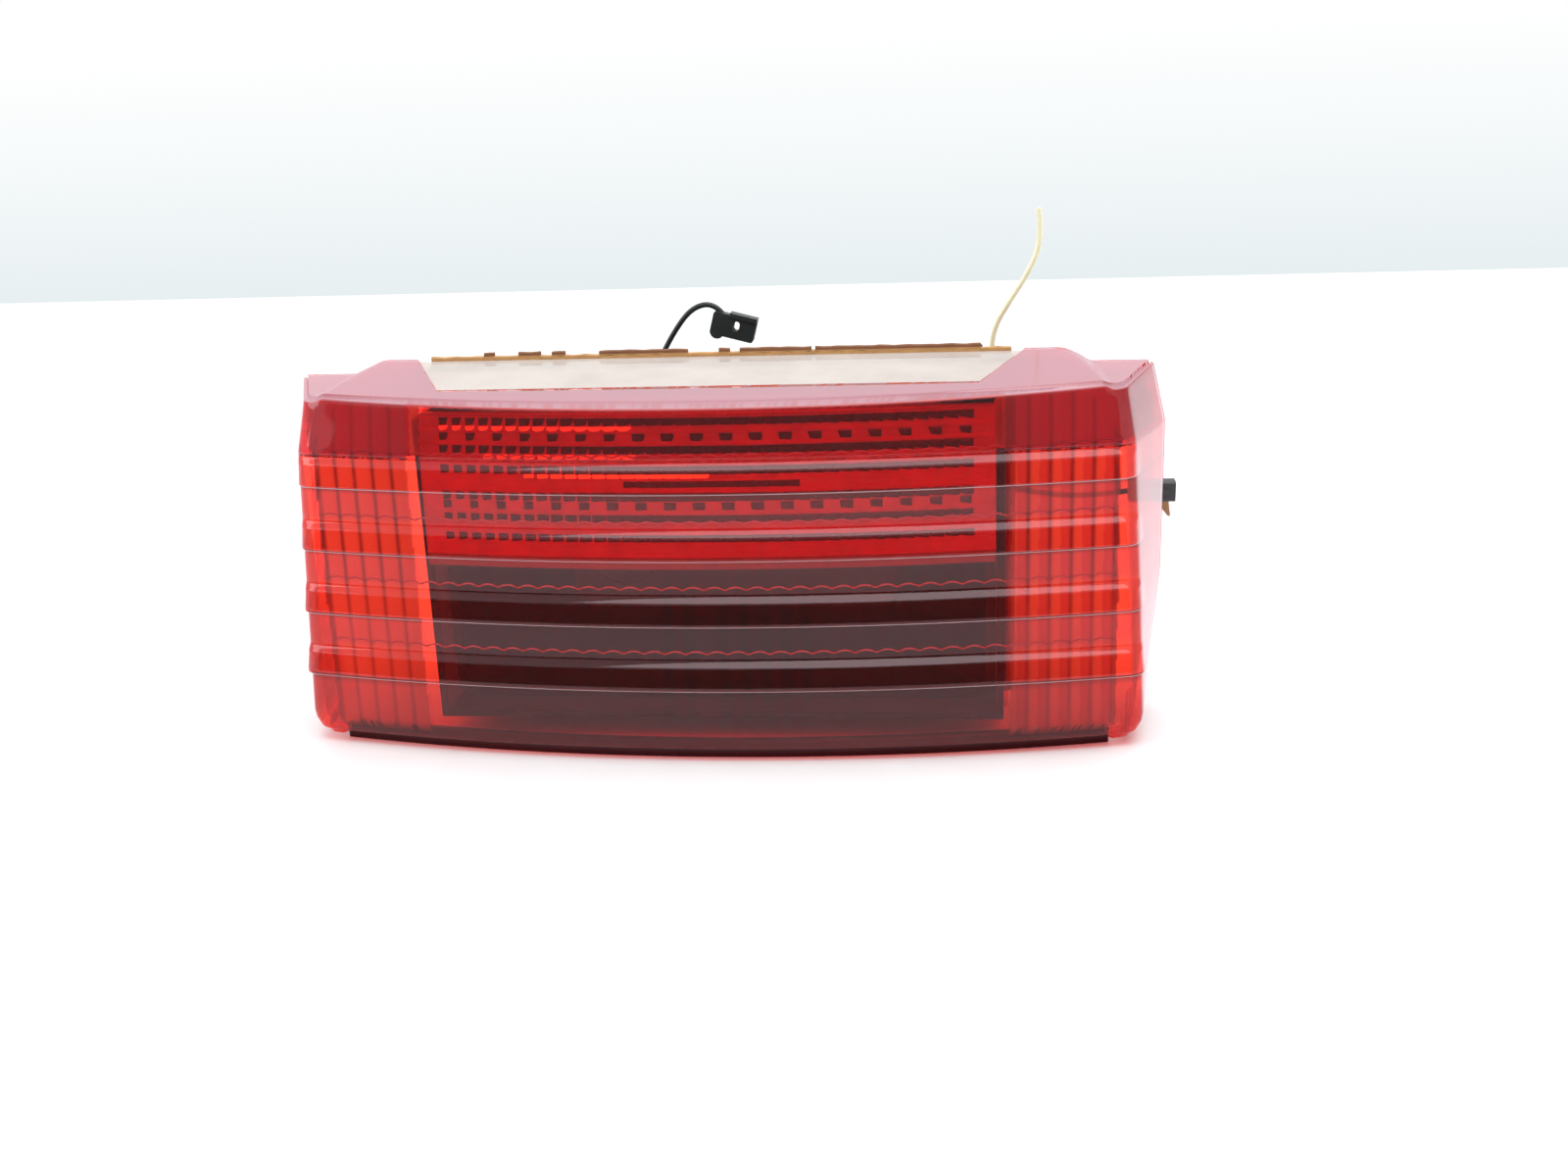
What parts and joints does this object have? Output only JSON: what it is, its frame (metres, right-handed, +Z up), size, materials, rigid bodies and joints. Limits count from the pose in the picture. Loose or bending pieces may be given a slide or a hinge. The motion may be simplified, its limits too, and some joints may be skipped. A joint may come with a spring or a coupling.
{
  "type": "tail light",
  "caption": "Motorcycle tail light with a ribbed red cover, clear number-plate window, slide-out bulb carrier on knurled screws, bayonet bulbs, mounting studs and short leads",
  "frame": {"origin": "Middle of the footprint on the surface that the lamp stands on, upside down: the edge that is uppermost on the motorcycle is down here.", "axes": "+X to the right of someone facing the lens, +Y back through the lamp towards its studs and leads, +Z up."},
  "size_m": [0.2766, 0.1016, 0.1506],
  "materials": {
    "lens_red": "clear red moulding, gloss",
    "window_clear": "clear moulding, slightly yellowed",
    "housing_black": "moulded, fine grain",
    "seal_brown": "aged sealing strip",
    "reflex_red": "prism plate",
    "reflector_metal": "metallised plastic",
    "steel_zinc": "zinc plated",
    "carrier_black": "moulded",
    "seal_black": "closed-cell seal",
    "insulator_brown": "laminated insulating board",
    "brass": "bare",
    "spring_steel": "drawn wire",
    "bulb_glass": "clear",
    "filament": "wire",
    "lead_black": "insulated wire",
    "lead_cream": "insulated wire",
    "lead_dark": "insulated wire",
    "receptacle_black": "moulded sleeve",
    "plug_grey": "moulded",
    "lock_tan": "moulded"
  },
  "bodies": {
    "lamp": {"lens_cover": "lens_red", "plate_window": "window_clear", "lamp_housing": "housing_black", "sealing_strip": "seal_brown", "reflex_panel": "reflex_red", "reflector": "reflector_metal", "mounting_studs": "steel_zinc"},
    "carrier": {"bulb_carrier": "carrier_black", "carrier_seal": "seal_black", "brake_socket": "steel_zinc", "brake_socket_base": "insulator_brown", "tail_socket": "steel_zinc", "tail_socket_base": "insulator_brown", "brake_contact_spring": "spring_steel", "tail_contact_spring": "spring_steel", "brake_terminal": "brass", "tail_terminal": "brass", "earth_terminal": "brass", "strip_rivets": "brass", "black_lead": "lead_black", "cream_lead": "lead_cream", "dark_lead": "lead_dark", "blade_receptacle": "receptacle_black", "receptacle_contact": "brass", "grey_plug": "plug_grey", "tan_lock": "lock_tan"},
    "brake_plunger": {"brake_contact_disc": "insulator_brown", "brake_contact": "brass"},
    "tail_plunger": {"tail_contact_disc": "insulator_brown", "tail_contact": "brass"},
    "brake_bulb": {"brake_bulb_cap": "brass", "brake_bulb_glass": "bulb_glass", "brake_bulb_filament": "filament"},
    "tail_bulb": {"tail_bulb_cap": "brass", "tail_bulb_glass": "bulb_glass", "tail_bulb_filament": "filament"},
    "left_screw_washer": {"left_washer": "steel_zinc"},
    "right_screw_washer": {"right_washer": "steel_zinc"},
    "left_knurled_screw": {"left_screw": "steel_zinc"},
    "right_knurled_screw": {"right_screw": "steel_zinc"}
  },
  "joints": [
    {"name": "carrier_slide", "type": "slide", "parent": "lamp", "child": "carrier", "axis": [0, 1, 0], "range_m": [0, 0.06]},
    {"name": "brake_contact_push", "type": "slide", "parent": "carrier", "child": "brake_plunger", "axis": [0, 1, 0], "range_m": [0, 0.0025], "stiffness_N_per_m": 600, "springref_m": -0.002, "deforming": ["brake_contact_spring"]},
    {"name": "brake_bulb_turn", "type": "hinge", "parent": "brake_plunger", "child": "brake_bulb", "pos_m": [-0.03, 0.01626, 0.056], "axis": [0, -1, 0], "range_deg": [0, 25]},
    {"name": "tail_contact_push", "type": "slide", "parent": "carrier", "child": "tail_plunger", "axis": [0, 1, 0], "range_m": [0, 0.0025], "stiffness_N_per_m": 600, "springref_m": -0.002, "deforming": ["tail_contact_spring"]},
    {"name": "tail_bulb_turn", "type": "hinge", "parent": "tail_plunger", "child": "tail_bulb", "pos_m": [0.03, 0.01626, 0.056], "axis": [0, -1, 0], "range_deg": [0, 25]},
    {"name": "left_screw_travel", "type": "slide", "parent": "carrier", "child": "left_screw_washer", "axis": [0, 1, 0], "range_m": [0, 0.008]},
    {"name": "left_screw_turn", "type": "hinge", "parent": "left_screw_washer", "child": "left_knurled_screw", "pos_m": [-0.069, 0.03626, 0.048], "axis": [0, 1, 0], "range_deg": [0, 3601]},
    {"name": "right_screw_travel", "type": "slide", "parent": "carrier", "child": "right_screw_washer", "axis": [0, 1, 0], "range_m": [0, 0.008]},
    {"name": "right_screw_turn", "type": "hinge", "parent": "right_screw_washer", "child": "right_knurled_screw", "pos_m": [0.069, 0.03626, 0.048], "axis": [0, 1, 0], "range_deg": [0, 3601]}
  ],
  "couplings": [
    {"joint": "left_screw_turn", "follows": "left_screw_travel", "rad_per_m": 7854},
    {"joint": "right_screw_turn", "follows": "right_screw_travel", "rad_per_m": 7854}
  ]
}
